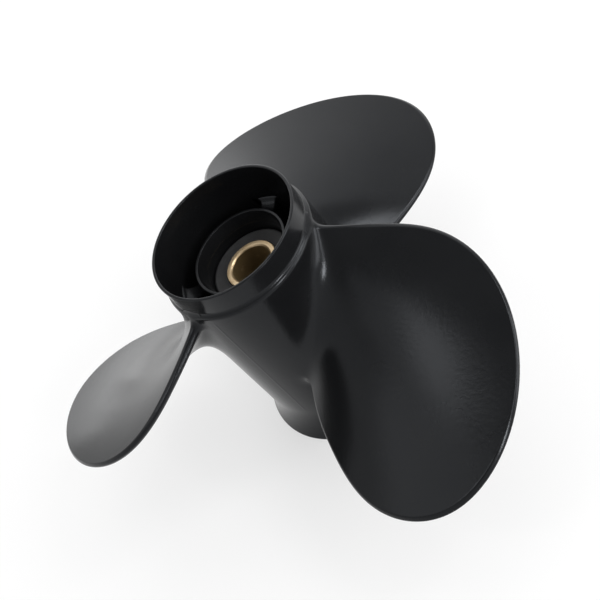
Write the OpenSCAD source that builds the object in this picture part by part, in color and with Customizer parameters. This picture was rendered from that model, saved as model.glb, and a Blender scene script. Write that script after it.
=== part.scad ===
// Three-blade outboard propeller with a cushioned through-exhaust hub, right-handed.
// The shaft axis is Z and +Z points forward, to the gearcase.
// z = 0 is the forward thrust face of the splined sleeve, and the aft rim is the lowest point.

/* [Blades] */
// Diameter over the blade tips
prop_d = 235; // [228:1:242]
// Pitch at the barrel
pitch_root = 217; // [205:1:225]
// Pitch at the tip
pitch_tip = 202; // [195:1:215]
// Rake of the blades towards the aft end, in degrees
rake = 13.1; // [10:0.1:16]
// Forward curl of the tip against the rake
tip_curl = 6.4; // [3:0.1:9]
// Distance of the blade roots behind the thrust face
blade_set = 19.3; // [18:0.1:21]
// Chord at the root
chord_root = 68; // [62:1:70]
// Extra length of the leading edge at the root, towards the shoulder
root_lead = 3.8; // [2:0.1:5]
// Share of the blade's span over which that extra length fades out
root_lead_span = 0.42; // [0.3:0.01:0.6]
// Control width of the chord curve, a third of the way out
chord_inner = 88; // [80:1:94]
// Control width of the chord curve, two thirds of the way out
chord_outer = 134; // [124:1:138]
// Control width of the chord curve at the tip, before the tip is rounded off
chord_tip = 103; // [94:1:108]
// How late the tip starts to round off
tip_power = 3.7; // [3.2:0.1:4.4]
// How square the rounded tip is
tip_square = 2.1; // [1.8:0.1:2.5]
// Forward lead of the mid-chord line, in degrees
skew_lead = 20.7; // [17:0.1:24]
// Sweep of the mid-chord line back towards the tip, in degrees
skew_sweep = 26.5; // [22:0.1:30]
// Greatest blade thickness at the root
blade_t_root = 5; // [4:0.1:6]
// Greatest blade thickness at the tip
blade_t_tip = 2.4; // [1.8:0.1:3]
// Spread of the root fillet at the blade's faces
fillet_face = 7; // [4:0.5:8]
// Spread of the root fillet at the blade's leading and trailing edges
fillet_edge = 1.5; // [1:0.5:4]
// Height of the root fillet up the blade
fillet_h = 9; // [6:0.5:12]

/* [Outer hub] */
// Length of the hub from the front lip to the aft rim
hub_len = 103; // [100:0.5:108]
// Distance of the lip's front edge ahead of the thrust face
lip_front = 22; // [20:0.5:24]
// Length of the front lip
lip_len = 9.3; // [7:0.1:9.6]
// Length of the sloped shoulder behind the lip
shoulder_len = 1.3; // [0.8:0.1:1.5]
// Barrel diameter just behind the shoulder
barrel_front_d = 64.8; // [64:0.1:65.4]
// Gain in the barrel's diameter from there to the flare
barrel_taper = 0.8; // [0.4:0.1:1.2]
// Wall of the barrel round the exhaust passage, behind the shoulder
barrel_wall = 2.7; // [2.4:0.1:3.2]
// Wall of the front lip
lip_wall = 1.3; // [0.9:0.1:1.6]
// Bevel on the sharp edges of the casting
edge_bevel = 0.3; // [0.1:0.1:0.4]

/* [Diffuser flare] */
// Length of the flare
flare_len = 18; // [15:0.5:20]
// Outside diameter of the aft rim
flare_d = 74.8; // [72:0.1:78]
// Wall of the flare at the aft rim
rim_wall = 2.2; // [1.6:0.1:3]

/* [Inner hub] */
// Outside diameter of the inner hub
boss_d = 40.4; // [39:0.1:42]
// Bore of the inner hub, which holds the bush
boss_bore_d = 34.6; // [33:0.1:35.2]
// Distance of the inner hub's front rim ahead of the thrust face
boss_front = 8.7; // [7:0.1:11]
// Distance of the inner hub's aft end ahead of the aft rim
boss_inset = 17.7; // [16:0.1:22]
// Diameter of the lead-in mouth at the front rim
mouth_d = 37.8; // [36:0.1:38.4]
// Depth of the lead-in mouth
mouth_len = 5; // [3:0.5:7]

/* [Ribs] */
// Thickness of each rib
rib_t = 7; // [5:0.1:9]
// Distance of the ribs' front corners ahead of the thrust face
rib_front = 3.5; // [1:0.1:6]
// Depth of the hollow in each rib's front edge
rib_hollow = 2.4; // [1:0.1:3.5]

/* [Rubber bush] */
// Length of the bush
bush_len = 58; // [50:0.5:61]
// Distance of the bush's front face behind the thrust face
bush_set = 0.4; // [0.2:0.1:1.5]
// Radial gap of the bush, both to the sleeve and to the inner hub
bush_gap = 0.05; // [0.02:0.01:0.09]
// Bevel on the ends of the bush
bush_bevel = 1; // [0.4:0.1:1.5]

/* [Splined sleeve] */
// Outside diameter of the sleeve
sleeve_d = 22; // [21:0.1:24]
// Length of the sleeve
sleeve_len = 65; // [60:0.5:68]
// Diameter of the plain pilot bore
pilot_d = 17; // [16:0.1:18]
// Length of the plain pilot bore
pilot_len = 12; // [8:0.5:16]
// Step from the pilot bore in to the spline roots
spline_step = 0.2; // [0.1:0.1:0.5]
// Height of the spline teeth
spline_h = 1.1; // [0.8:0.1:1.5]
// Number of spline teeth
spline_n = 8; // [6:1:12]
// Share of the spline's pitch that is groove
spline_gap = 0.52; // [0.45:0.01:0.6]
// Bevel on the sleeve's edges
sleeve_bevel = 0.5; // [0.2:0.1:0.8]

/* [Hidden] */
$fn = 96;

blade_n = 3;
// Rings across a root fillet, rings from there to the tip, and steps along a section's chord
fillet_rings = 5;
span_rings = 20;
chord_steps = 18;
// Depth of the blade's root inside the barrel before the barrel is cut away from it
root_sink = 1.2;
// Least share of the chord left at the very tip
tip_least = 0.0004;
// Steps along a curved profile
arc_steps = 10;
// How far a cutting shape stands past the face that it cuts
over = 1;

tip_r = prop_d / 2;
barrel_front_r = barrel_front_d / 2;
barrel_r = (barrel_front_d + barrel_taper) / 2;
passage_r = barrel_front_r - barrel_wall;
lip_r = passage_r + lip_wall;
lip_back = lip_front - lip_len;
shoulder_back = lip_back - shoulder_len;
aft_z = lip_front - hub_len;
flare_z = aft_z + flare_len;
boss_aft = aft_z + boss_inset;
bush_front = -bush_set;
pilot_r = pilot_d / 2;
spline_root_r = pilot_r - spline_step;
spline_r = spline_root_r - spline_h;

casting_black = [0.10, 0.10, 0.11];

// Cubic curve through the first and last of four control values
function curve(p, u) = p[0] * pow(1 - u, 3) + 3 * p[1] * u * pow(1 - u, 2)
                     + 3 * p[2] * u * u * (1 - u) + p[3] * pow(u, 3);

// Share of the blade's span at a radius, from 0 at the barrel to 1 at the tip
function span(r) = max(0, (r - barrel_r) / (tip_r - barrel_r));

function tip_round(u) = pow(max(tip_least, 1 - pow(u, tip_power)), 1 / tip_square);
function half_chord(u) = curve([chord_root, chord_inner, chord_outer, chord_tip], u) / 2 * tip_round(u);
function lead(u) = root_lead * pow(max(0, 1 - u / root_lead_span), 2);
function half_thick(u) = (blade_t_root + (blade_t_tip - blade_t_root) * u) / 2;
function pitch(u) = pitch_root + (pitch_tip - pitch_root) * u;
function skew(u) = skew_lead * u - skew_sweep * u * u;
function mid_z(r) = let (u = span(r))
    -blade_set - (r - barrel_r) * tan(rake) + tip_curl * u * u + pitch(u) * skew(u) / 360;

// How far a root fillet of spread w stands out from the blade's section
function fillet(r, w) = w * pow(max(0, 1 - max(0, r - barrel_r) / fillet_h), 2);

// A point on the section at radius r: s runs from the trailing to the leading edge, y across the thickness
function section_point(r, s, y) = let (
        u = span(r),
        lean = atan2(pitch(u), 2 * PI * r),
        along = s * (half_chord(u) + fillet(r, fillet_edge)) + (1 + s) / 2 * lead(u),
        out = y * (half_thick(u) + fillet(r, fillet_face)),
        turn = skew(u) + (along * cos(lean) - out * sin(lean)) / r * 180 / PI)
    [r * cos(turn), r * sin(turn), mid_z(r) + along * sin(lean) + out * cos(lean)];

// Closed ring of a section, up the forward face and back down the aft face
function section(r) = [for (k = [0 : 2 * chord_steps - 1])
    let (aft = k > chord_steps,
         s = sin(90 * ((aft ? 2 * chord_steps - k : k) * 2 / chord_steps - 1)),
         y = sqrt(max(0, 1 - pow(s, 4))))
    section_point(r, s, aft ? -y : y)];

blade_radii = concat(
    [barrel_r - root_sink],
    [for (i = [0 : fillet_rings - 1]) barrel_r + fillet_h * i / fillet_rings],
    [for (i = [0 : span_rings])
        let (start = barrel_r + fillet_h) start + (tip_r - start) * sin(90 * i / span_rings)]);

// Outline of the barrel's outside, from the lip back to the flare, with the lip's inner corner last
function barrel_outline() = [
    [passage_r + edge_bevel, lip_front],
    [lip_r - edge_bevel, lip_front],
    [lip_r, lip_front - edge_bevel],
    [lip_r, lip_back],
    [barrel_front_r - edge_bevel, shoulder_back + edge_bevel],
    [barrel_front_r, shoulder_back],
    [barrel_r, flare_z],
    [passage_r, flare_z],
    [passage_r, lip_front - edge_bevel]];

// Arc that leaves the line r = r0 at z = z0 and reaches the point (r1, z1)
function flare_arc(r0, z0, r1, z1) = let (bend = 2 * atan2(r1 - r0, z0 - z1), arc_r = (z0 - z1) / sin(bend))
    [for (i = [0 : arc_steps])
        let (a = bend * i / arc_steps) [r0 + arc_r * (1 - cos(a)), z0 - arc_r * sin(a)]];

// Outside of the flare, from the barrel back to the aft rim's bevel
flare_outside = flare_arc(barrel_r, flare_z, flare_d / 2, aft_z + edge_bevel);

// Solid core of the barrel and flare, which trims the blade roots to their surface
module hub_core() {
    rotate_extrude()
        polygon(concat(
            [[0, lip_front], [barrel_front_r, lip_front], [barrel_front_r, shoulder_back]],
            flare_outside,
            [[0, aft_z + edge_bevel]]));
}

module outer_hub() {
    color(casting_black)
        rotate_extrude()
            polygon(barrel_outline());
}

module diffuser_flare() {
    inside = flare_arc(passage_r, flare_z, flare_d / 2 - rim_wall, aft_z + edge_bevel);
    rim = [[flare_d / 2 - edge_bevel, aft_z], [flare_d / 2 - rim_wall + edge_bevel, aft_z]];
    color(casting_black)
        rotate_extrude()
            polygon(concat(flare_outside, rim, [for (i = [arc_steps : -1 : 0]) inside[i]]));
}

module inner_hub() {
    color(casting_black)
        rotate_extrude()
            polygon([
                [boss_bore_d / 2, boss_aft],
                [boss_d / 2 - edge_bevel, boss_aft],
                [boss_d / 2, boss_aft + edge_bevel],
                [boss_d / 2, boss_front - edge_bevel],
                [boss_d / 2 - edge_bevel, boss_front],
                [mouth_d / 2, boss_front],
                [boss_bore_d / 2, boss_front - mouth_len]]);
}

// Web between the inner hub and the barrel, with a hollow front edge
module rib(turn) {
    inner = boss_d / 2;
    wide = passage_r - inner;
    hollow_r = (wide * wide / 4 + rib_hollow * rib_hollow) / (2 * rib_hollow);
    color(casting_black)
        rotate(turn)
            difference() {
                intersection() {
                    translate([0, -rib_t / 2, boss_aft])
                        cube([passage_r + over, rib_t, rib_front - boss_aft]);
                    translate([0, 0, boss_aft])
                        cylinder(r = passage_r, h = rib_front - boss_aft);
                }
                translate([0, 0, boss_aft - over])
                    cylinder(r = inner, h = rib_front - boss_aft + 2 * over);
                translate([inner + wide / 2, 0, rib_front + hollow_r - rib_hollow])
                    rotate([90, 0, 0])
                        cylinder(r = hollow_r, h = rib_t + 2 * over, center = true);
            }
}

// One blade, lofted through its sections from inside the barrel's wall to the tip
module blade(turn) {
    rings = len(blade_radii);
    ring_n = 2 * chord_steps;
    points = [for (r = blade_radii) each section(r)];
    sides = [for (i = [0 : rings - 2], k = [0 : ring_n - 1])
        let (a = i * ring_n + k, b = i * ring_n + (k + 1) % ring_n)
        each [[a, a + ring_n, b], [b, a + ring_n, b + ring_n]]];
    // Each end is closed by a strip between its two faces
    strip = [for (k = [0 : chord_steps - 1])
        let (p = k, q = k + 1, p2 = (ring_n - k) % ring_n, q2 = ring_n - k - 1)
        each concat(p == p2 ? [] : [[p, q, p2]], q == q2 ? [] : [[q, q2, p2]])];
    last = (rings - 1) * ring_n;
    tip = [for (f = strip) [last + f[0], last + f[2], last + f[1]]];
    color(casting_black)
        rotate(turn)
            difference() {
                polyhedron(points, concat(sides, strip, tip), convexity = 6);
                hub_core();
            }
}

module rubber_bush() {
    inner = sleeve_d / 2 + bush_gap;
    outer = boss_bore_d / 2 - bush_gap;
    aft = bush_front - bush_len;
    color([0.16, 0.16, 0.17])
        rotate_extrude()
            polygon([
                [inner, aft],
                [outer - bush_bevel, aft],
                [outer, aft + bush_bevel],
                [outer, bush_front - bush_bevel],
                [outer - bush_bevel, bush_front],
                [inner, bush_front]]);
}

module splined_sleeve() {
    groove_w = spline_gap * 2 * PI * spline_r / spline_n;
    color([0.80, 0.62, 0.36])
        difference() {
            rotate_extrude()
                polygon([
                    [spline_r, -sleeve_len],
                    [sleeve_d / 2 - sleeve_bevel, -sleeve_len],
                    [sleeve_d / 2, sleeve_bevel - sleeve_len],
                    [sleeve_d / 2, -sleeve_bevel],
                    [sleeve_d / 2 - sleeve_bevel, 0],
                    [spline_r, 0]]);
            translate([0, 0, -pilot_len])
                cylinder(r = pilot_r, h = pilot_len + over);
            intersection() {
                translate([0, 0, -sleeve_len - over])
                    cylinder(r = spline_root_r, h = sleeve_len + over - pilot_len / 2);
                for (i = [0 : spline_n - 1])
                    rotate(i * 360 / spline_n)
                        translate([0, -groove_w / 2, -sleeve_len - over])
                            cube([spline_root_r + over, groove_w, sleeve_len + over - pilot_len / 2]);
            }
        }
}

outer_hub();
diffuser_flare();
inner_hub();
rib(0);  // rib_1
rib(360 / blade_n);  // rib_2
rib(720 / blade_n);  // rib_3
blade(0);  // blade_1
blade(360 / blade_n);  // blade_2
blade(720 / blade_n);  // blade_3
rubber_bush();
splined_sleeve();
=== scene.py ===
"""Looks of a three-blade outboard propeller: satin black casting, rubber bush and brass sleeve."""

import math

import bpy
import numpy as np
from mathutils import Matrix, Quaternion, Vector


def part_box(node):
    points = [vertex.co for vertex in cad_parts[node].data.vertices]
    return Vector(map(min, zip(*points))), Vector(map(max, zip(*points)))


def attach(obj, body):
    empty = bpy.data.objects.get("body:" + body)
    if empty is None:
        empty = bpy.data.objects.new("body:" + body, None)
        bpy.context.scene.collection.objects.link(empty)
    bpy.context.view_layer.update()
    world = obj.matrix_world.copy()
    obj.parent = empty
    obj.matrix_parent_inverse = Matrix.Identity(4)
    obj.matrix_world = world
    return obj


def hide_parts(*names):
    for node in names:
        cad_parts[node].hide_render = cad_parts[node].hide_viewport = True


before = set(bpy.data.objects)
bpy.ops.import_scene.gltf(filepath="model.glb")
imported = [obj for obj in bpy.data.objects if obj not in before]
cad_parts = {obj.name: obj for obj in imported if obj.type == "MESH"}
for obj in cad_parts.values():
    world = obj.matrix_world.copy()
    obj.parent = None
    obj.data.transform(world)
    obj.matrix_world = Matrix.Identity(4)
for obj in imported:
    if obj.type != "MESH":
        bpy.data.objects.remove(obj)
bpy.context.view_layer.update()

# Sizes here are in millimetres and angles in degrees; meshes are written in metres
MM = 0.001
# Steps round each rounded corner of an outline, and the bend above which an edge is sharp
ARC_STEPS = 6
SHARP_BEND = 32.0
# Least length and slope to divide by, and decimals to which angles in radians are told apart
TINY_LENGTH, TINY_SLOPE = 1e-12, 1e-6
ANGLE_DECIMALS = 9


def node_box(node):
    """Lowest and highest corner of a CAD node, in millimetres."""
    low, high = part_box(node)
    return low / MM, high / MM


# Sizes that the frame gives
barrel_low, barrel_high = node_box("outer_hub")
flare_low, flare_high = node_box("diffuser_flare")
boss_low, boss_high = node_box("inner_hub")
rib_low, rib_high = node_box("rib_1")
bush_low, bush_high = node_box("rubber_bush")
sleeve_low, sleeve_high = node_box("splined_sleeve")
LIP_Z, FLARE_Z, RIM_Z = barrel_high.z, barrel_low.z, flare_low.z
BARREL_R, RIM_R, PASSAGE_R = barrel_high.x, flare_high.x, rib_high.x
BOSS_R, BOSS_FRONT, BOSS_AFT = boss_high.x, boss_high.z, boss_low.z
RIB_FRONT, RIB_AFT, RIB_HALF = rib_high.z, rib_low.z, rib_high.y
BUSH_R, BUSH_FRONT, BUSH_AFT = bush_high.x, bush_high.z, bush_low.z
SLEEVE_R, SLEEVE_FRONT, SLEEVE_AFT = sleeve_high.x, sleeve_high.z, sleeve_low.z

# Blades
BLADE_N = 3
TIP_R = 117.5
PITCH_ROOT, PITCH_TIP = 217.0, 202.0
# Rake of the blades, how far their tips curl forward, and how far behind the thrust face their roots stand
RAKE = 13.1
TIP_CURL = 6.4
BLADE_SET = 19.3
# Control widths of the chord from root to tip, and how late and how square the tip rounds off
CHORDS = (68.0, 88.0, 134.0, 103.0)
TIP_POWER, TIP_SQUARE = 3.7, 2.1
# Turn of the sections round the axis along the span: first ahead, then swept back
SKEW_LEAD, SKEW_SWEEP = 20.7, 26.5
# What the leading edge gains and the trailing edge lacks at the root, and the spans over which each fades
ROOT_LEAD, ROOT_LEAD_SPAN = 3.8, 0.42
ROOT_TRAIL, ROOT_TRAIL_SPAN = 7.0, 0.30
# Thickness at the root and tip, and how fast it falls from the root
THICK_ROOT, THICK_TIP, THICK_FALL = 8.0, 2.6, 2.0
# Half thickness of the blade's edge at the root and tip
EDGE_R_ROOT, EDGE_R_TIP = 1.8, 1.25
# How square the blade's edge is at the root and beyond this span: 2 is a half circle
SQUARE_ROOT, SQUARE_TIP, SQUARE_SPAN = 2.0, 10.0, 0.35
# Bevel of the edge beyond that span: depth and width as shares of its half thickness, and how full it is
BEVEL_DEPTH, BEVEL_WIDTH, BEVEL_ROUND = 0.8, 0.9, 0.44
# Reach of the root fillet on the faces and at the leading and trailing edges, and how gently it starts
FILLET_FACE, FILLET_LEAD, FILLET_TRAIL = 14.0, 5.0, 7.0
FILLET_EASE = 2.4
# Chord share at which the root fillet has its full reach
FILLET_PEAK = 0.3
# How far a blade's foot is sunk in the barrel, and passes that bring its fillet to the tapered barrel
ROOT_SINK = 0.6
ROOT_PASSES = 4
CHORD_STEPS = 80
FILLET_STEPS = 16
SPAN_STEPS = 56

# Barrel and flare
LIP_R = 31.0
LIP_LEN = 9.3
SHOULDER_LEN = 1.4
BARREL_FRONT_R = 32.4
RIM_WALL = 2.2
LIP_ROUND = 0.45
CORNER_ROUND = 2.2
SHOULDER_ROUND = 2.2
RIM_ROUND = 0.6
FLARE_STEPS = 14
TURN_STEPS = 240
LIP_BACK = LIP_Z - LIP_LEN
SHOULDER_Z = LIP_BACK - SHOULDER_LEN
# Casting's parting lines, midway between the blades: height, half width and length that fades out
PARTING_H, PARTING_W, PARTING_FADE = 0.06, 0.40, 4.0
# Reach of a line's own points to each side, in half widths, and their number
PARTING_REACH, PARTING_POINTS = 3, 13

# Inner hub, with a lead-in mouth at its front
MOUTH_R, MOUTH_LEN, MOUTH_ROUND = 18.9, 5.0, 2.0
BOSS_BORE_R = 17.3
BOSS_ROUND = 0.5

# Ribs: fillets at their ends, hollow and rounds of their front edge, and how far their ends are sunk
RIB_FILLET = 2.0
RIB_HOLLOW = 2.4
RIB_ROUND = 0.8
RIB_SINK = 0.4
RIB_STEPS = 20

# Rubber bush, with a bevel at the front of its bore
BUSH_BORE_R = 11.05
BUSH_ROUND, BUSH_BORE_ROUND = 0.9, 0.2
BUSH_LEAD, BUSH_LEAD_ROUND = 0.5, 0.15
# Depth of the dish in its front face, and the margins round it at the outer round and at the bore
BUSH_DISH = 0.5
DISH_OUTER_GAP, DISH_INNER_GAP = 0.4, 1.0
DISH_STEPS = 10

# Brass sleeve
PILOT_R, PILOT_LEN = 8.5, 12.0
SPLINE_N = 8
SPLINE_ROOT_R, SPLINE_TOP_R = 8.3, 7.2
# Share of the spline's pitch that is groove, at the tops of its teeth
SPLINE_GAP = 0.52
SPLINE_BEVEL = 0.3
SPLINE_POINTS = 9
SLEEVE_ROUND, BORE_ROUND = 0.3, 0.1
BORE_LEAD = 0.6
# Heights between which the painted shade down the bore sets in, how deep its tone gets, and how metallic it
# leaves the brass
BORE_SHADE_FRONT_Z, BORE_SHADE_FULL_Z = -0.1, -0.8
BORE_SHADE_TONE = 0.62
BORE_SHADE_METAL = 0.3

# Camera at the photograph's viewing angle
CAMERA_PLACE = (-177.2, -213.6, 237.7)
CAMERA_AZIMUTH, CAMERA_ELEVATION, CAMERA_ROLL = -40.59, 44.25, -42.42
CAMERA_LENS, CAMERA_SENSOR = 56.53, 36.0
# Nearest and farthest distance that it shows, in metres
CAMERA_CLIP = (0.01, 20.0)

# White floor: width in metres, lit tone, and the share of its look that is plain white
FLOOR_SIZE = 12.0
FLOOR_TONE = 0.9
FLOOR_GLOW = 0.6
# Brightness of the studio's walls and ceiling by the height of the direction
WORLD_LEVELS = ((0.0, 0.9), (0.3, 0.8), (0.55, 0.7), (0.8, 0.25), (1.0, 0.4))


def unit(v):
    """Vectors along the last axis, brought to length 1."""
    return v / np.maximum(np.linalg.norm(v, axis=-1, keepdims=True), TINY_LENGTH)


def smooth(x):
    """Smooth step from 0 to 1."""
    x = np.clip(x, 0, 1)
    return x * x * (3 - 2 * x)


def new_object(name, data):
    """A new object in the scene."""
    thing = bpy.data.objects.new(name, data)
    bpy.context.scene.collection.objects.link(thing)
    return thing


def add_piece(name, verts, faces, material, body, nodes, normals=None):
    """Makes a mesh piece with its material from points in millimetres, ties it to its body and hides the
    CAD nodes it stands for.
    """
    mesh = bpy.data.meshes.new(name)
    mesh.from_pydata((np.asarray(verts) * MM).tolist(), [], faces)
    mesh.materials.append(material)
    mesh.shade_smooth()
    if normals is None:
        mesh.set_sharp_from_angle(angle=math.radians(SHARP_BEND))
    else:
        mesh.normals_split_custom_set_from_vertices(np.asarray(normals).tolist())
    piece = new_object(name, mesh)
    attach(piece, body)
    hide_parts(*nodes)


def grid_faces(rows, cols, close_rows=False, flip=False):
    """Quads of a grid of points whose columns close on themselves."""
    faces = []
    for i in range(rows if close_rows else rows - 1):
        for k in range(cols):
            a, b = i * cols, (i + 1) % rows * cols
            quad = (a + k, a + (k + 1) % cols, b + (k + 1) % cols, b + k)
            faces.append(quad[::-1] if flip else quad)
    return faces


def rounded_outline(corners):
    """Points and outward normals of a counterclockwise outline of corners (r, z, radius).

    A corner of radius 0 is a plain point on a curve.
    """
    at = np.array([c[:2] for c in corners], float)
    points, normals = [], []
    for i, (_, _, radius) in enumerate(corners):
        back = unit(at[i - 1] - at[i])
        ahead = unit(at[(i + 1) % len(at)] - at[i])
        if radius == 0:
            points.append(at[i])
            normals.append(unit(np.array([ahead[1] - back[1], back[0] - ahead[0]])))
            continue
        half = math.acos(float(np.clip(back @ ahead, -1, 1))) / 2
        turn = 1 if back[0] * ahead[1] - back[1] * ahead[0] < 0 else -1
        centre = at[i] + unit(back + ahead) * radius / math.sin(half)
        start = at[i] + back * radius / math.tan(half) - centre
        angle = math.atan2(start[1], start[0])
        for j in range(ARC_STEPS + 1):
            a = angle + turn * (math.pi - 2 * half) * j / ARC_STEPS
            spoke = np.array([math.cos(a), math.sin(a)])
            points.append(centre + radius * spoke)
            normals.append(turn * spoke)
    return np.array(points), np.array(normals)


def lathe(outline, angles, lift=None):
    """Points and normals of an outline turned round the axis.

    lift moves its points out, by outline point and angle.
    """
    points, normals = outline
    lift = np.zeros((len(points), len(angles))) if lift is None else lift
    r = points[:, :1] + lift
    slope = np.gradient(lift, angles, axis=1) / r
    c, s = np.cos(angles), np.sin(angles)
    z = np.broadcast_to(points[:, 1:], r.shape)
    out, up = normals[:, :1], np.broadcast_to(normals[:, 1:], r.shape)
    grid = np.stack([r * c, r * s, z], -1)
    normal = np.stack([out * (c + slope * s), out * (s - slope * c), up], -1)
    return grid, unit(normal)


def add_lathe(name, outline, angles, material, body, nodes, lift=None):
    """A piece turned round the axis from a closed outline."""
    grid, normals = lathe(outline, angles, lift)
    faces = grid_faces(*grid.shape[:2], close_rows=True)
    add_piece(name, grid.reshape(-1, 3), faces, material, body, nodes, normals.reshape(-1, 3))


def even_turn(steps):
    """Angles once round the axis."""
    return np.arange(steps) * 2 * np.pi / steps


def turned(points, angle):
    """Points turned round the axis."""
    c, s = math.cos(angle), math.sin(angle)
    return points @ np.array([[c, s, 0], [-s, c, 0], [0, 0, 1]])


def barrel_radius(z):
    """Radius of the barrel's outside, which steps up from the lip and widens a little towards the flare."""
    taper = (BARREL_R - BARREL_FRONT_R) * np.clip((SHOULDER_Z - z) / (SHOULDER_Z - FLARE_Z), 0, 1)
    step = smooth((z - SHOULDER_Z + SHOULDER_LEN / 2) / (2 * SHOULDER_LEN))
    return BARREL_FRONT_R + taper - (BARREL_FRONT_R - LIP_R) * step


def flare_arc(r0, r1):
    """Arc of the flare, tangent to the barrel at FLARE_Z, as plain outline points without its two ends."""
    bend = 2 * math.atan2(r1 - r0, FLARE_Z - RIM_Z)
    arc_r = (FLARE_Z - RIM_Z) / math.sin(bend)
    turns = [bend * i / FLARE_STEPS for i in range(1, FLARE_STEPS)]
    return [(r0 + arc_r * (1 - math.cos(a)), FLARE_Z - arc_r * math.sin(a), 0) for a in turns]


def barrel_outline():
    """Wall of the barrel and flare, up the outside from the aft rim and down the inside."""
    fade = [(BARREL_R, FLARE_Z, 0)]
    fade += [(float(barrel_radius(z)), z, 0) for z in (FLARE_Z + PARTING_FADE, SHOULDER_Z - PARTING_FADE)]
    inner_r = RIM_R - RIM_WALL
    return rounded_outline(
        [(RIM_R, RIM_Z, RIM_ROUND)]
        + flare_arc(BARREL_R, RIM_R)[::-1]
        + fade
        + [
            (BARREL_FRONT_R, SHOULDER_Z, SHOULDER_ROUND),
            (LIP_R, LIP_BACK, CORNER_ROUND),
            (LIP_R, LIP_Z, LIP_ROUND),
            (PASSAGE_R, LIP_Z, LIP_ROUND),
            (PASSAGE_R, FLARE_Z, 0),
        ]
        + flare_arc(PASSAGE_R, inner_r)
        + [(inner_r, RIM_Z, RIM_ROUND)]
    )


def add_barrel(material):
    """Barrel and flare in one piece, with a fine parting line between each two blades."""
    points, normals = barrel_outline()
    lines = (np.arange(BLADE_N) + 0.5) * 2 * np.pi / BLADE_N
    near = np.linspace(-PARTING_REACH, PARTING_REACH, PARTING_POINTS) * PARTING_W / BARREL_R
    angles = np.concatenate([even_turn(TURN_STEPS), (lines[:, None] + near).ravel()])
    angles = np.unique(angles.round(ANGLE_DECIMALS))
    off = np.abs(angles[:, None] - lines).min(1) * BARREL_R / PARTING_W
    z, margin = points[:, 1], PARTING_FADE / 2
    on_barrel = (z > FLARE_Z + margin) & (z < SHOULDER_Z - margin) & (normals[:, 0] > 0)
    lift = on_barrel[:, None] * PARTING_H * np.exp(-off * off)
    nodes = ("outer_hub", "diffuser_flare")
    add_lathe("hub_barrel", (points, normals), angles, material, "casting", nodes, lift)


def add_boss(material):
    """Inner hub, with a lead-in mouth at its front rim."""
    outline = rounded_outline([
        (BOSS_R, BOSS_AFT, BOSS_ROUND),
        (BOSS_R, BOSS_FRONT, BOSS_ROUND),
        (MOUTH_R, BOSS_FRONT, BOSS_ROUND / 2),
        (BOSS_BORE_R, BOSS_FRONT - MOUTH_LEN, MOUTH_ROUND),
        (BOSS_BORE_R, BOSS_AFT, BOSS_ROUND),
    ])
    angles = even_turn(TURN_STEPS)
    add_lathe("hub_boss", outline, angles, material, "casting", ("inner_hub",))


def add_rib(index, material):
    """Web between the inner hub and the barrel, with fillets and a hollow, rounded front edge."""
    inner, outer = BOSS_R - RIB_SINK, PASSAGE_R + RIB_SINK
    middle, wide = (BOSS_R + PASSAGE_R) / 2, PASSAGE_R - BOSS_R
    hollow_r = (wide * wide / 4 + RIB_HOLLOW**2) / (2 * RIB_HOLLOW)
    rings = []
    for rho in np.linspace(inner, outer, RIB_STEPS + 1):
        wall = min(max(min(rho - BOSS_R, PASSAGE_R - rho), 0), RIB_FILLET)
        spread = RIB_FILLET - math.sqrt(RIB_FILLET**2 - (RIB_FILLET - wall) ** 2)
        half = RIB_HALF + spread
        reach = min(abs(rho - middle), wide / 2)
        front = RIB_FRONT - RIB_HOLLOW + hollow_r - math.sqrt(hollow_r**2 - reach**2)
        ring, _ = rounded_outline([
            (half, RIB_AFT, RIB_ROUND / 2),
            (half, front, RIB_ROUND),
            (-half, front, RIB_ROUND),
            (-half, RIB_AFT, RIB_ROUND / 2),
        ])
        y, z = ring.T
        rings.append(np.stack([np.sqrt(rho * rho - y * y), y, z], -1))
    grid = np.array(rings)
    rows, cols = grid.shape[:2]
    faces = grid_faces(rows, cols, flip=True)
    faces += [tuple(range(cols)), tuple(range((rows - 1) * cols, rows * cols))[::-1]]
    turn = 2 * math.pi * index / BLADE_N
    verts = turned(grid.reshape(-1, 3), turn)
    name = f"rib_{index + 1}"
    add_piece(f"hub_{name}", verts, faces, material, "casting", (name,))


def curve(p, u):
    """Cubic curve through the first and last of four control values, and its slope."""
    value = p[0] * (1 - u) ** 3 + 3 * p[1] * u * (1 - u) ** 2 + 3 * p[2] * u * u * (1 - u) + p[3] * u**3
    slope = 3 * ((p[1] - p[0]) * (1 - u) ** 2 + 2 * (p[2] - p[1]) * u * (1 - u) + (p[3] - p[2]) * u * u)
    return value, slope


def edge_distance(u, s):
    """Distance in the blade's face from a point at span u and chord share s to the outline close by."""
    chord, chord_slope = curve(CHORDS, u)
    taper = 1 - u**TIP_POWER
    across = np.abs(s) * taper ** (1 / TIP_SQUARE)
    inside = taper * (1 - np.abs(s) ** TIP_SQUARE)
    length = TIP_R - BARREL_R
    along_r = TIP_POWER * u ** (TIP_POWER - 1) / length
    along_r = along_r - TIP_SQUARE * across**TIP_SQUARE * chord_slope / chord / length
    along_s = TIP_SQUARE * across ** (TIP_SQUARE - 1) / (chord / 2)
    return inside / np.maximum(np.hypot(along_r, along_s), TINY_SLOPE)


def edge_profile(near, outer):
    """Height of the edge's profile by the nearness of its rim, from the root's round to the outer bevel."""
    square = SQUARE_ROOT + (SQUARE_TIP - SQUARE_ROOT) * outer
    bevel = BEVEL_DEPTH * outer
    ramp = np.minimum(near / BEVEL_WIDTH, 1)
    ramp = ramp * (1 + BEVEL_ROUND * (1 - ramp))
    return (1 - bevel) * (1 - (1 - near) ** square) ** (1 / square) + bevel * ramp


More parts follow.
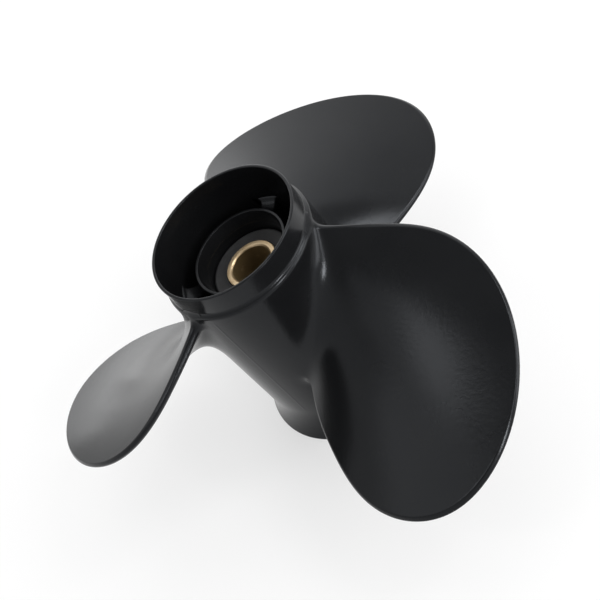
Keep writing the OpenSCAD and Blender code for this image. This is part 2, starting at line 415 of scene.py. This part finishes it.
def blade_point(r, s, side, spread):
    """Point on one side of a blade at radius r and chord share s, with the root fillet's spread."""
    u = np.clip((r - BARREL_R) / (TIP_R - BARREL_R), 0, 1)
    half_chord = curve(CHORDS, u)[0] / 2 * (1 - u**TIP_POWER) ** (1 / TIP_SQUARE)
    edge_r = EDGE_R_TIP + (EDGE_R_ROOT - EDGE_R_TIP) * (1 - u) ** 3
    near = np.clip(edge_distance(u, s) / edge_r, 0, 1)
    swell = (THICK_TIP + (THICK_ROOT - THICK_TIP) * (1 - u) ** THICK_FALL) / 2 - edge_r
    half_thick = edge_r * edge_profile(near, smooth(u / SQUARE_SPAN)) + swell * (1 - s * s)
    end = (1 - near) * np.sign(s)
    lead = ROOT_LEAD * np.maximum(0, 1 - u / ROOT_LEAD_SPAN) ** 2
    trail = ROOT_TRAIL * np.maximum(0, 1 - u / ROOT_TRAIL_SPAN) ** 2
    along = s * half_chord + (1 + s) / 2 * lead + (1 - s) / 2 * trail + end * spread
    out = side * (half_thick + np.sqrt(1 - end * end) * spread)
    pitch = PITCH_ROOT + (PITCH_TIP - PITCH_ROOT) * u
    skew = SKEW_LEAD * u - SKEW_SWEEP * u * u
    lean = np.arctan2(pitch, 2 * np.pi * r)
    turn = np.radians(skew) + (along * np.cos(lean) - out * np.sin(lean)) / r
    fall = (r - BARREL_R) * math.tan(math.radians(RAKE))
    mid = -BLADE_SET - fall + TIP_CURL * u * u + pitch * skew / 360
    z = mid + along * np.sin(lean) + out * np.cos(lean)
    return np.stack([r * np.cos(turn), r * np.sin(turn), z], -1)


def blade_rows(s, side):
    """Rows of a blade's points, from inside the barrel over the root fillet to just short of the tip."""
    ahead = s > FILLET_PEAK
    edge = np.where(ahead, FILLET_LEAD, FILLET_TRAIL)
    growth = np.where(ahead, (1 - s) / (1 - FILLET_PEAK), (1 + s) / (1 + FILLET_PEAK))
    fillet = edge + (FILLET_FACE - edge) * smooth(growth)
    rows = []
    for j in range(FILLET_STEPS + 1):
        up = j / FILLET_STEPS
        spread, rise = fillet * (1 - up) ** FILLET_EASE, fillet * up**FILLET_EASE
        root = np.full_like(s, BARREL_R)
        for _ in range(ROOT_PASSES):
            root = barrel_radius(blade_point(root + rise, s, side, spread)[:, 2])
        rows.append(blade_point(root + rise, s, side, spread))
    start = root + rise
    for j in range(1, SPAN_STEPS):
        r = start + (TIP_R - start) * math.sin(math.pi / 2 * j / SPAN_STEPS)
        rows.append(blade_point(r, s, side, 0.0))
    sunk = rows[0] * np.array([1 - ROOT_SINK / BARREL_R, 1 - ROOT_SINK / BARREL_R, 1])
    return np.array([sunk] + rows)


def add_blade(index, material):
    """One blade with a rounded edge, and a root fillet that runs out flush with the barrel."""
    v = np.linspace(-1, 1, CHORD_STEPS + 1)
    s = np.sin(np.pi / 2 * np.concatenate([v, v[-2:0:-1]]))
    side = np.concatenate([np.ones(CHORD_STEPS + 1), -np.ones(CHORD_STEPS - 1)])
    grid = blade_rows(s, side)
    rows, cols = grid.shape[:2]
    across = np.roll(grid, -1, 1) - np.roll(grid, 1, 1)
    normals = np.empty_like(grid)
    normals[1:] = unit(np.cross(np.gradient(grid[1:], axis=0), across[1:]))
    slope = (BARREL_R - BARREL_FRONT_R) / (SHOULDER_Z - FLARE_Z)
    normals[:2] = unit(grid[1] * np.array([1, 1, 0]) / BARREL_R + np.array([0, 0, slope]))
    tip = blade_point(np.array([TIP_R]), np.zeros(1), np.zeros(1), 0.0)
    verts = np.concatenate([grid.reshape(-1, 3), tip])
    normals = np.concatenate([normals.reshape(-1, 3), unit(tip * np.array([1, 1, 0]))])
    faces = grid_faces(rows, cols, flip=True) + [tuple(range(cols))]
    last = (rows - 1) * cols
    faces += [(last + (k + 1) % cols, last + k, rows * cols) for k in range(cols)]
    turn = 2 * math.pi * index / BLADE_N
    name = f"blade_{index + 1}"
    verts, normals = turned(verts, turn), turned(normals, turn)
    add_piece(f"cast_{name}", verts, faces, material, "casting", (name,), normals)


def add_bush(material):
    """Rubber bush, a little dished between the sleeve and the inner hub."""
    middle, half = (BUSH_R + BUSH_BORE_R) / 2, (BUSH_R - BUSH_BORE_R) / 2
    radii = np.linspace(BUSH_R - BUSH_ROUND - DISH_OUTER_GAP, BUSH_BORE_R + DISH_INNER_GAP, DISH_STEPS)
    dish = [(r, BUSH_FRONT - BUSH_DISH * (1 - ((r - middle) / half) ** 2), 0) for r in radii]
    outline = rounded_outline(
        [(BUSH_R, BUSH_AFT, BUSH_ROUND), (BUSH_R, BUSH_FRONT, BUSH_ROUND)]
        + dish
        + [
            (BUSH_BORE_R + BUSH_LEAD, BUSH_FRONT, BUSH_LEAD_ROUND),
            (BUSH_BORE_R, BUSH_FRONT - BUSH_LEAD, BUSH_LEAD_ROUND),
            (BUSH_BORE_R, BUSH_AFT, BUSH_BORE_ROUND),
        ]
    )
    angles = even_turn(TURN_STEPS)
    add_lathe("rubber_cushion", outline, angles, material, "cushion", ("rubber_bush",))


def spline_angles():
    """Angles round the bore with points on every spline corner, and the bore's radius at each."""
    groove = SPLINE_GAP * math.pi * SPLINE_TOP_R / SPLINE_N
    top, root = math.asin(groove / SPLINE_TOP_R), math.asin(groove / SPLINE_ROOT_R)
    pitch = 2 * math.pi / SPLINE_N
    turns = np.concatenate([
        np.linspace(-root, root, SPLINE_POINTS),
        np.linspace(top, pitch - top, SPLINE_POINTS),
    ])
    radii = np.repeat([SPLINE_ROOT_R, SPLINE_TOP_R], SPLINE_POINTS)
    return np.concatenate([turns + i * pitch for i in range(SPLINE_N)]), np.tile(radii, SPLINE_N)


def add_sleeve(material):
    """Brass sleeve with rounded edges, a plain pilot bore at the front and a spline behind it."""
    angles, spline = spline_angles()
    outline, _ = rounded_outline([
        (SLEEVE_R, SLEEVE_AFT, SLEEVE_ROUND),
        (SLEEVE_R, SLEEVE_FRONT, SLEEVE_ROUND),
        (PILOT_R + BORE_LEAD, SLEEVE_FRONT, BORE_ROUND),
        (PILOT_R, SLEEVE_FRONT - BORE_LEAD, BORE_ROUND),
        (PILOT_R, SLEEVE_AFT, BORE_ROUND),
    ])
    # The spline takes the place of the bore's aft corner
    rings = [(np.full_like(spline, r), z) for r, z in outline[: -(ARC_STEPS + 1)]]
    step = SLEEVE_FRONT - PILOT_LEN
    rings += [
        (np.full_like(spline, PILOT_R), step),
        (spline + SPLINE_BEVEL, step),
        (spline, step - SPLINE_BEVEL),
        (spline, SLEEVE_AFT + SPLINE_BEVEL),
        (spline + SPLINE_BEVEL, SLEEVE_AFT),
    ]
    c, s = np.cos(angles), np.sin(angles)
    grid = np.array([np.stack([r * c, r * s, np.full_like(r, z)], -1) for r, z in rings])
    verts = grid.reshape(-1, 3)
    faces = grid_faces(*grid.shape[:2], close_rows=True)
    add_piece("brass_sleeve", verts, faces, material, "sleeve", ("splined_sleeve",))


class Nodes:
    """Short way to add and link the nodes of one material or world."""

    def __init__(self, owner):
        owner.use_nodes = True
        self.tree = owner.node_tree
        self.tree.nodes.clear()

    def add(self, kind, inputs=None, **settings):
        """Adds a node. Inputs are numbers, colours or (node, output name) links."""
        node = self.tree.nodes.new(kind)
        for key, value in settings.items():
            setattr(node, key, value)
        for key, value in (inputs or {}).items():
            if isinstance(value, tuple) and isinstance(value[0], bpy.types.Node):
                self.tree.links.new(value[0].outputs[value[1]], node.inputs[key])
            else:
                node.inputs[key].default_value = value
        return node

    def ramp(self, source, *stops):
        """Colour ramp over (place, colour) stops, driven by a node's output."""
        node = self.add("ShaderNodeValToRGB", {"Fac": source})
        ends = node.color_ramp.elements
        while len(ends) < len(stops):
            ends.new(1.0)
        for end, (place, colour) in zip(ends, stops):
            end.position = place
            end.color = (*colour, 1.0)
        return node


def new_material(name):
    """An empty node material and its node helper."""
    material = bpy.data.materials.new(name)
    return material, Nodes(material)


def paint_material():
    """Satin black paint with orange peel and a little change in tone and gloss."""
    material, n = new_material("satin_black_paint")
    place = (n.add("ShaderNodeTexCoord"), "Object")
    tone = n.add("ShaderNodeTexNoise", {"Vector": place, "Scale": 45.0, "Detail": 4.0})
    peel = n.add("ShaderNodeTexNoise", {"Vector": place, "Scale": 650.0, "Detail": 2.0})
    grain = n.add("ShaderNodeTexNoise", {"Vector": place, "Scale": 2600.0, "Detail": 1.0})
    colour = n.ramp((tone, "Fac"), (0.3, (0.0046, 0.0048, 0.0053)), (0.7, (0.0066, 0.0068, 0.0073)))
    gloss = n.add(
        "ShaderNodeMapRange",
        {"Value": (tone, "Fac"), "From Min": 0.3, "From Max": 0.7, "To Min": 0.19, "To Max": 0.22},
    )
    fine = n.add("ShaderNodeBump", {"Height": (grain, "Fac"), "Strength": 0.1, "Distance": 0.00008})
    bump = n.add(
        "ShaderNodeBump",
        {"Height": (peel, "Fac"), "Strength": 0.10, "Distance": 0.0003, "Normal": (fine, "Normal")},
    )
    shader = n.add(
        "ShaderNodeBsdfPrincipled",
        {
            "Base Color": (colour, "Color"),
            "Roughness": (gloss, "Result"),
            "IOR": 1.3,
            "Specular Tint": (0.90, 0.94, 1.0, 1.0),
            "Normal": (bump, "Normal"),
        },
    )
    n.add("ShaderNodeOutputMaterial", {"Surface": (shader, "BSDF")})
    return material


def rubber_material():
    """Matte moulded rubber with a fine grain."""
    material, n = new_material("matte_rubber")
    place = (n.add("ShaderNodeTexCoord"), "Object")
    tone = n.add("ShaderNodeTexNoise", {"Vector": place, "Scale": 180.0, "Detail": 5.0})
    grain = n.add("ShaderNodeTexNoise", {"Vector": place, "Scale": 3200.0, "Detail": 2.0})
    colour = n.ramp((tone, "Fac"), (0.3, (0.018, 0.018, 0.019)), (0.7, (0.028, 0.028, 0.029)))
    bump = n.add("ShaderNodeBump", {"Height": (grain, "Fac"), "Strength": 0.3, "Distance": 0.00015})
    shader = n.add(
        "ShaderNodeBsdfPrincipled",
        {"Base Color": (colour, "Color"), "Roughness": 0.62, "Normal": (bump, "Normal")},
    )
    n.add("ShaderNodeOutputMaterial", {"Surface": (shader, "BSDF")})
    return material


def brass_material():
    """Turned brass: fine rings on its faces, random brown stains, and painted shade that darkens it and
    dulls its metal down the bore.
    """
    material, n = new_material("turned_brass")
    place = (n.add("ShaderNodeTexCoord"), "Object")
    rings = n.add(
        "ShaderNodeTexWave",
        {"Vector": place, "Scale": 900.0, "Distortion": 0.6, "Detail": 1.0},
        wave_type="RINGS",
        rings_direction="Z",
    )
    stain = n.add("ShaderNodeTexNoise", {"Vector": place, "Scale": 260.0, "Detail": 5.0})
    depth = n.add("ShaderNodeSeparateXYZ", {"Vector": place})
    # Painted shade: by height alone, the brass darkens towards brown and loses its metal down the bore. The
    # stain noise only adds random stains.
    bore_shade = n.add(
        "ShaderNodeMapRange",
        {
            "Value": (depth, "Z"),
            "From Min": BORE_SHADE_FRONT_Z * MM,
            "From Max": BORE_SHADE_FULL_Z * MM,
            "To Min": 0.0,
            "To Max": BORE_SHADE_TONE,
        },
    )
    metal_share = n.add(
        "ShaderNodeMapRange",
        {
            "Value": (bore_shade, "Result"),
            "From Min": 0.0,
            "From Max": BORE_SHADE_TONE,
            "To Min": 1.0,
            "To Max": BORE_SHADE_METAL,
        },
    )
    share = n.add("ShaderNodeMath", {0: (bore_shade, "Result"), 1: (stain, "Fac")}, operation="ADD")
    colour = n.ramp(
        (share, "Value"), (0.35, (0.76, 0.60, 0.39)), (0.65, (0.66, 0.49, 0.29)), (1.0, (0.20, 0.14, 0.065))
    )
    bump = n.add("ShaderNodeBump", {"Height": (rings, "Fac"), "Strength": 0.1, "Distance": 0.00005})
    shader = n.add(
        "ShaderNodeBsdfPrincipled",
        {
            "Base Color": (colour, "Color"),
            "Metallic": (metal_share, "Result"),
            "Roughness": 0.38,
            "Normal": (bump, "Normal"),
        },
    )
    n.add("ShaderNodeOutputMaterial", {"Surface": (shader, "BSDF")})
    return material


def floor_material():
    """White floor: it shows white to the camera and in reflections, and keeps the object's soft shadow."""
    material, n = new_material("white_floor")
    path = n.add("ShaderNodeLightPath")
    seen = (path, "Is Camera Ray")
    for ray in ("Is Glossy Ray", "Is Transmission Ray"):
        seen = (n.add("ShaderNodeMath", {0: seen, 1: (path, ray)}, operation="MAXIMUM"), "Value")
    share = n.add("ShaderNodeMath", {0: seen, 1: FLOOR_GLOW}, operation="MULTIPLY")
    lit = n.add("ShaderNodeBsdfDiffuse", {"Color": (FLOOR_TONE, FLOOR_TONE, FLOOR_TONE, 1.0)})
    glow = n.add("ShaderNodeEmission", {"Color": (1.0, 1.0, 1.0, 1.0), "Strength": 1.0})
    mixed = n.add("ShaderNodeMixShader", {0: (share, "Value"), 1: (lit, "BSDF"), 2: (glow, "Emission")})
    n.add("ShaderNodeOutputMaterial", {"Surface": (mixed, "Shader")})
    return material


def add_stage():
    """Floor under the aft rim, and the studio's even surroundings."""
    half = FLOOR_SIZE / 2
    z = RIM_Z * MM
    corners = [(-half, -half, z), (half, -half, z), (half, half, z), (-half, half, z)]
    mesh = bpy.data.meshes.new("floor")
    mesh.from_pydata(corners, [], [(0, 1, 2, 3)])
    mesh.materials.append(floor_material())
    floor = new_object("floor", mesh)
    world = bpy.data.worlds.new("studio")
    bpy.context.scene.world = world
    n = Nodes(world)
    height = n.add("ShaderNodeSeparateXYZ", {"Vector": (n.add("ShaderNodeTexCoord"), "Generated")})
    level = n.ramp((height, "Z"), *[(z, (v, v, v)) for z, v in WORLD_LEVELS])
    walls = n.add("ShaderNodeBackground", {"Color": (level, "Color"), "Strength": 1.0})
    n.add("ShaderNodeOutputWorld", {"Surface": (walls, "Background")})


def add_softbox(name, place, width, height, brightness, hung=False):
    """Soft panel that faces the propeller, or hangs level and shines down; sizes are in metres."""
    lamp = bpy.data.lights.new(name, "AREA")
    lamp.shape = "RECTANGLE"
    lamp.size, lamp.size_y = width, height
    lamp.energy = brightness * math.pi * width * height
    light = new_object(name, lamp)
    light.location = place
    light.rotation_mode = "QUATERNION"
    if not hung:
        light.rotation_quaternion = Vector(place).to_track_quat("Z", "Y")
    light.visible_camera = False


def add_lights():
    """Studio lights, each with its place, width, height and brightness."""
    add_softbox("top_light", (0.90, 0.15, 0.76), 1.6, 1.9, 0.98)
    add_softbox("key_light", (-0.45, 0.47, 1.20), 0.20, 0.36, 4.4, hung=True)
    add_softbox("wide_key", (-0.76, 0.50, 1.20), 0.50, 0.60, 0.7, hung=True)
    add_softbox("far_key", (-0.42, 1.08, 1.20), 0.65, 0.80, 1.05, hung=True)
    add_softbox("right_light", (0.36, -0.70, 0.74), 0.22, 0.32, 9.0)
    add_softbox("side_light", (0.24, -0.97, 0.09), 0.66, 0.35, 4.0)
    add_softbox("back_light", (0.58, 0.81, 0.18), 0.66, 0.52, 1.45)
    add_softbox("low_board", (0.175, 0.207, -0.068), 0.237, 0.026, 1.1)
    add_softbox("high_board", (0.161, 0.217, -0.043), 0.270, 0.026, 0.75)
    add_softbox("right_strip", (0.19, -1.08, 0.69), 1.00, 0.25, 4.5)
    add_softbox("front_light", (-0.50, -0.98, 0.49), 0.24, 0.30, 18.0)
    add_softbox("back_fill", (0.98, 0.21, 0.10), 0.66, 0.36, 0.7)


def add_camera():
    """Camera at the photograph's place, rolled as it is there."""
    data = bpy.data.cameras.new("camera")
    data.lens, data.sensor_width = CAMERA_LENS, CAMERA_SENSOR
    data.clip_start, data.clip_end = CAMERA_CLIP
    camera = new_object("camera", data)
    azimuth, elevation = math.radians(CAMERA_AZIMUTH), math.radians(CAMERA_ELEVATION)
    back = Vector((math.sin(azimuth), -math.cos(azimuth), math.tan(elevation))).normalized()
    camera.location = Vector(CAMERA_PLACE) * MM
    camera.rotation_mode = "QUATERNION"
    level = (-back).to_track_quat("-Z", "Y")
    camera.rotation_quaternion = level @ Quaternion((0, 0, 1), math.radians(CAMERA_ROLL))
    bpy.context.scene.camera = camera


bpy.context.scene.view_settings.view_transform = "Standard"
add_camera()
add_stage()
add_lights()

paint = paint_material()
add_barrel(paint)
add_boss(paint)
for blade_index in range(BLADE_N):
    add_rib(blade_index, paint)
    add_blade(blade_index, paint)
add_bush(rubber_material())
add_sleeve(brass_material())
